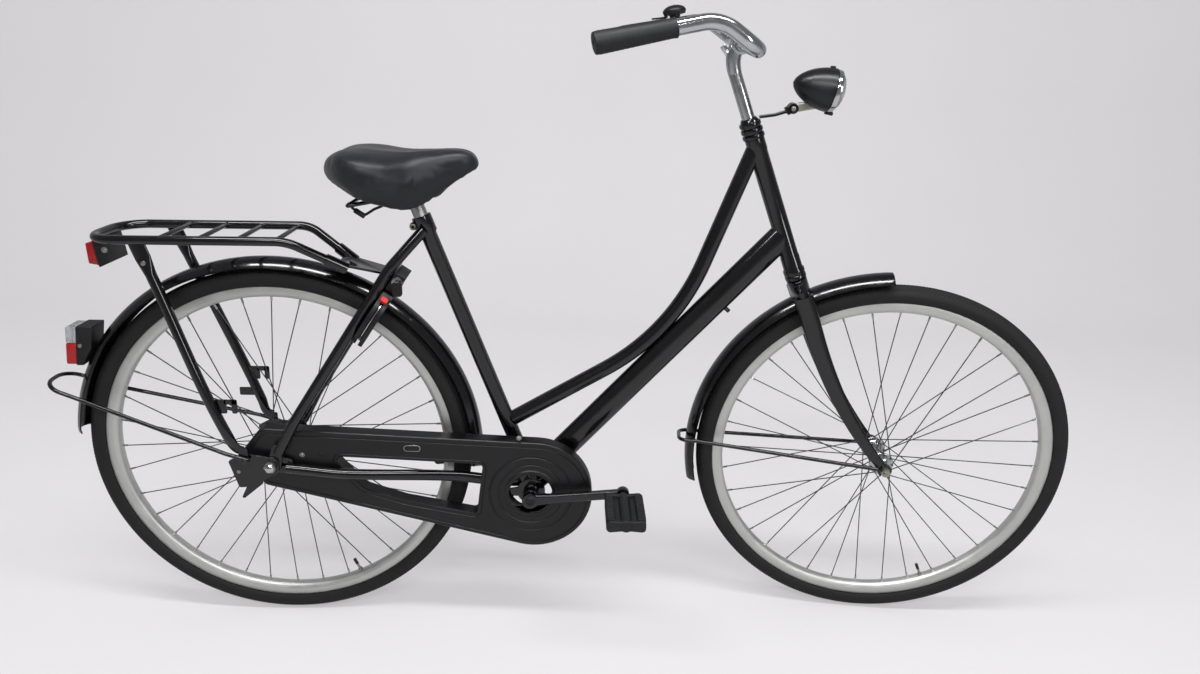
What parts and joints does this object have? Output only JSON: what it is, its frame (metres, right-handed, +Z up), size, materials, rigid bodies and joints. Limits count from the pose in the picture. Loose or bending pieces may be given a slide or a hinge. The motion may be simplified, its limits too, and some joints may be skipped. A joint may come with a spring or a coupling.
{
  "type": "city bicycle",
  "caption": "Step-through city bicycle with closed chaincase, rear carrier, ring lock, mudguards, lamps and upright bar that steers, rolls and pedals.",
  "frame": {"origin": "on the ground where the rear tyre stands, under the rear axle", "axes": "+X forward, +Y to the rider's left, +Z up; the steering stands a little to the right, as pictured"},
  "size_m": [1.8772, 0.6259, 1.1702],
  "materials": {
    "black_paint": "gloss black stove enamel",
    "black_plastic": "satin black moulded plastic",
    "case_plastic": "semi-gloss black moulded plastic",
    "black_rubber": "matt black rubber",
    "tyre_rubber": "matt black tyre with a tread",
    "saddle_cover": "fine-grained black artificial leather",
    "aluminium": "drawn aluminium",
    "chrome": "bright chrome plate",
    "zinc_plate": "zinc-plated steel",
    "red_lens": "clear red plastic",
    "red_plastic": "bright red moulded plastic",
    "clear_lens": "clear ribbed lens"
  },
  "bodies": {
    "frame": {"head_tube": "black_paint", "top_tube": "black_paint", "down_tube": "black_paint", "seat_tube": "black_paint", "bottom_bracket_shell": "black_paint", "right_chainstay": "black_paint", "left_chainstay": "black_paint", "right_seatstay": "black_paint", "left_seatstay": "black_paint", "chaincase": "case_plastic", "chain": "zinc_plate", "rear_mudguard": "black_paint", "rear_mudguard_stay": "black_paint", "carrier": "black_paint", "carrier_right_leg": "black_paint", "carrier_left_leg": "black_paint", "carrier_bracket": "black_paint", "reflector_bracket": "black_paint", "rear_reflector": "red_lens", "rear_light_housing": "black_plastic", "rear_light_lens": "red_lens", "lock_housing": "black_plastic", "right_axle_plate": "black_paint", "left_axle_plate": "black_paint", "rear_axle": "zinc_plate", "coaster_brake_arm": "zinc_plate"},
    "steering": {"fork": "black_paint", "upper_headset": "black_paint", "front_mudguard": "black_paint", "front_mudguard_stay": "black_paint", "front_axle": "zinc_plate", "headlamp_bracket": "zinc_plate"},
    "front_wheel": {"front_tyre": "tyre_rubber", "front_rim": "aluminium", "front_hub_and_spokes": "aluminium"},
    "rear_wheel": {"rear_tyre": "tyre_rubber", "rear_rim": "aluminium", "rear_hub_and_spokes": "aluminium"},
    "bars": {"stem": "chrome", "handlebar": "chrome", "right_grip": "black_rubber", "left_grip": "black_rubber", "bell": "black_plastic"},
    "bell_thumb": {"bell_lever": "black_plastic"},
    "headlamp": {"headlamp_shell": "black_plastic", "headlamp_lens": "clear_lens"},
    "cranks": {"crank_spindle": "zinc_plate", "right_crank": "black_paint", "left_crank": "black_paint"},
    "right_pedal_body": {"right_pedal": "black_rubber"},
    "left_pedal_body": {"left_pedal": "black_rubber"},
    "sprocket": {"rear_sprocket": "zinc_plate"},
    "seat": {"seat_post": "aluminium", "saddle_clamp": "black_paint", "saddle_rails": "black_paint", "saddle": "saddle_cover"},
    "lock_bolt": {"lock_shackle": "zinc_plate", "lock_lever": "red_plastic"},
    "lock_barrel": {"lock_cylinder": "zinc_plate", "lock_key": "black_plastic"}
  },
  "joints": [
    {"name": "steering_turn", "type": "hinge", "parent": "frame", "child": "steering", "pos_m": [0.88157, 0, 0.83128], "axis": [-0.3714, 0, 0.9285], "range_deg": [-53, 67]},
    {"name": "front_wheel_spin", "type": "hinge", "parent": "steering", "child": "front_wheel", "pos_m": [1.12865, -0.00615, 0.34851], "axis": [0.1132, 0.9925, 0.0453], "continuous": true},
    {"name": "rear_wheel_spin", "type": "hinge", "parent": "frame", "child": "rear_wheel", "pos_m": [0, 0, 0.3485], "axis": [0, 1, 0], "continuous": true},
    {"name": "stem_height", "type": "slide", "parent": "steering", "child": "bars", "axis": [-0.3714, 0, 0.9285], "range_m": [-0.05, 0.02]},
    {"name": "bell_thumb_press", "type": "hinge", "parent": "bars", "child": "bell_thumb", "pos_m": [0.7081, 0.27822, 1.14637], "axis": [-0.1862, 0.0385, 0.9818], "range_deg": [0, 25], "stiffness_Nm_per_rad": 0.05},
    {"name": "headlamp_tilt", "type": "hinge", "parent": "steering", "child": "headlamp", "pos_m": [0.89448, -0.00907, 0.99779], "axis": [0.1132, 0.9925, 0.0453], "range_deg": [-20, 15]},
    {"name": "crank_turn", "type": "hinge", "parent": "frame", "child": "cranks", "pos_m": [0.463, 0, 0.288], "axis": [0, 1, 0], "continuous": true},
    {"name": "right_pedal_spin", "type": "hinge", "parent": "cranks", "child": "right_pedal_body", "pos_m": [0.63235, -0.138, 0.30282], "axis": [0, 1, 0], "continuous": true},
    {"name": "left_pedal_spin", "type": "hinge", "parent": "cranks", "child": "left_pedal_body", "pos_m": [0.29365, 0.138, 0.27318], "axis": [0, 1, 0], "continuous": true},
    {"name": "sprocket_spin", "type": "hinge", "parent": "frame", "child": "sprocket", "pos_m": [0, -0.045, 0.3485], "axis": [0, 1, 0], "continuous": true},
    {"name": "seat_height", "type": "slide", "parent": "frame", "child": "seat", "axis": [-0.3584, 0, 0.9336], "range_m": [-0.015, 0.08]},
    {"name": "lock_close", "type": "hinge", "parent": "frame", "child": "lock_bolt", "pos_m": [0.18527, 0, 0.61928], "axis": [0.8387, 0, -0.5446], "range_deg": [0, 86]},
    {"name": "lock_key_turn", "type": "hinge", "parent": "frame", "child": "lock_barrel", "pos_m": [0.23186, -0.05, 0.68919], "axis": [0, -1, 0], "range_deg": [0, 90]}
  ],
  "couplings": [
    {"joint": "sprocket_spin", "follows": "crank_turn", "ratio": 2.5882}
  ]
}
